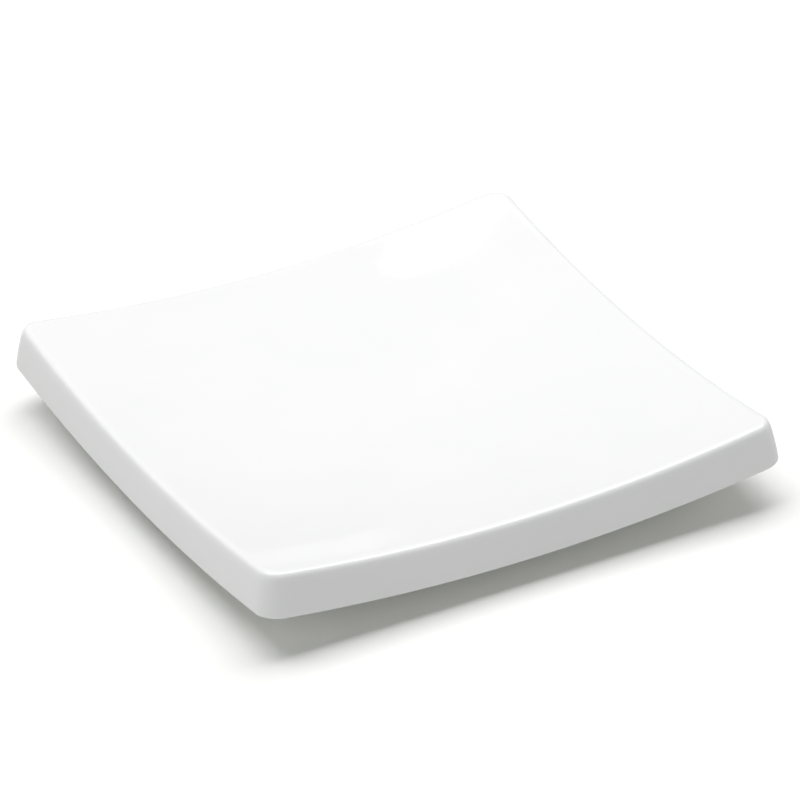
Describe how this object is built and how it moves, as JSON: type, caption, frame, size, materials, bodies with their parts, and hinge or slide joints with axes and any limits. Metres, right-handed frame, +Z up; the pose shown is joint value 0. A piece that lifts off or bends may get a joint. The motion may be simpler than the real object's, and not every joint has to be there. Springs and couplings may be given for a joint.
{
  "type": "square plate",
  "caption": "Square serving plate: a thick dished slab with raised corners, soft rounded edges and a gloss white glaze, hollow inside, standing on a low unglazed foot ring.",
  "frame": {"origin": "on the table under the middle of the plate, in the plane of the foot ring's bottom face", "axes": "+Z up out of the dish; X and Y run parallel to the plate's sides"},
  "size_m": [0.2054, 0.2054, 0.0322],
  "materials": {
    "glaze": "gloss white glaze over white porcelain",
    "bisque": "bare fired clay, ground smooth",
    "silicone": "matt translucent white silicone"
  },
  "bodies": {
    "root": {"top_shell": "glaze", "base_shell": "glaze", "support_ring": "bisque", "foot_ring": "bisque", "vent_plug": "silicone"}
  },
  "joints": []
}
